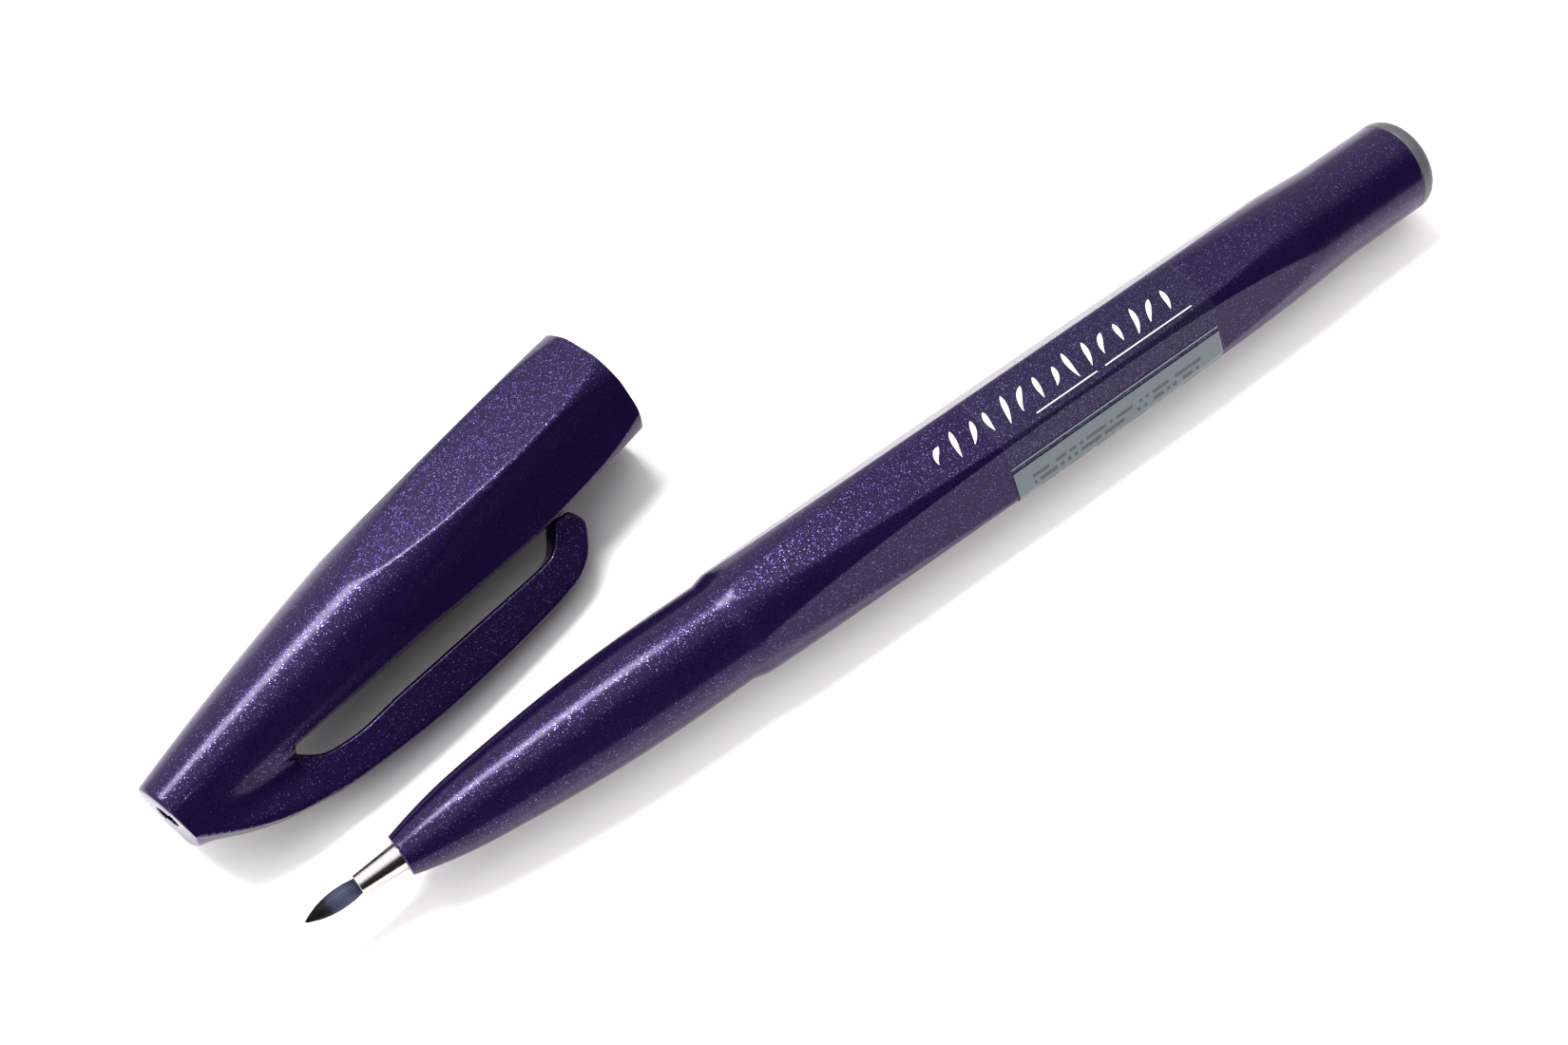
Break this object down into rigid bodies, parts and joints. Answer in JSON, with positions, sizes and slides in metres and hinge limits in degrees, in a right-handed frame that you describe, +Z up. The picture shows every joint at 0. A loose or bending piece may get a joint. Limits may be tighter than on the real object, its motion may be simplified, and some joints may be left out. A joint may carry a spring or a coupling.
{
  "type": "brush pen",
  "caption": "Violet fibre-point brush pen lying on a table with its clip cap pulled off beside it; flexible brush tip, sprung loop clip, lift-off cap.",
  "frame": {"origin": "middle of the footprint of the pen and cap, on the table", "axes": "+X along the pen from its brush point to its tail, +Z up from the table"},
  "size_m": [0.135, 0.0402, 0.013],
  "materials": {
    "violet_glitter": "moulded polypropylene, gloss, dark violet with fine metallic flake",
    "violet_plain": "moulded polypropylene, satin",
    "grey_plastic": "moulded, satin grey",
    "steel": "drawn and polished stainless steel",
    "white_plastic": "moulded, natural white",
    "fibre": "bonded polyester fibre soaked with violet ink",
    "clear_film": "clear film",
    "label_film": "clear film with a grey-blue printed panel",
    "tip_elastomer": "soft porous elastomer, ink-stained"
  },
  "bodies": {
    "pen": {"barrel": "violet_glitter", "tail_plug": "grey_plastic", "tip_holder": "steel", "nib_seat": "white_plastic", "feed_rod": "fibre", "ink_reservoir": "fibre", "reservoir_wrap": "clear_film", "film_label": "label_film"},
    "tip": {"brush_tip": "tip_elastomer"},
    "cap": {"cap_shell": "violet_glitter", "cap_liner": "violet_plain"},
    "clip": {"clip": "violet_glitter"}
  },
  "joints": [
    {"name": "tip_flex", "type": "hinge", "parent": "pen", "child": "tip", "pos_m": [-0.05677, -0.01404, 0.0053], "axis": [0, 1, 0], "range_deg": [-20, 20], "stiffness_Nm_per_rad": 0.004},
    {"name": "cap_lift", "type": "slide", "parent": "pen", "child": "cap", "axis": [0, 0, 1], "range_m": [0, 0.05]},
    {"name": "clip_flex", "type": "hinge", "parent": "cap", "child": "clip", "pos_m": [-0.05291, -0.00318, 0.0033], "axis": [-0.103, 0.4099, -0.9063], "range_deg": [0, 3], "stiffness_Nm_per_rad": 3}
  ]
}
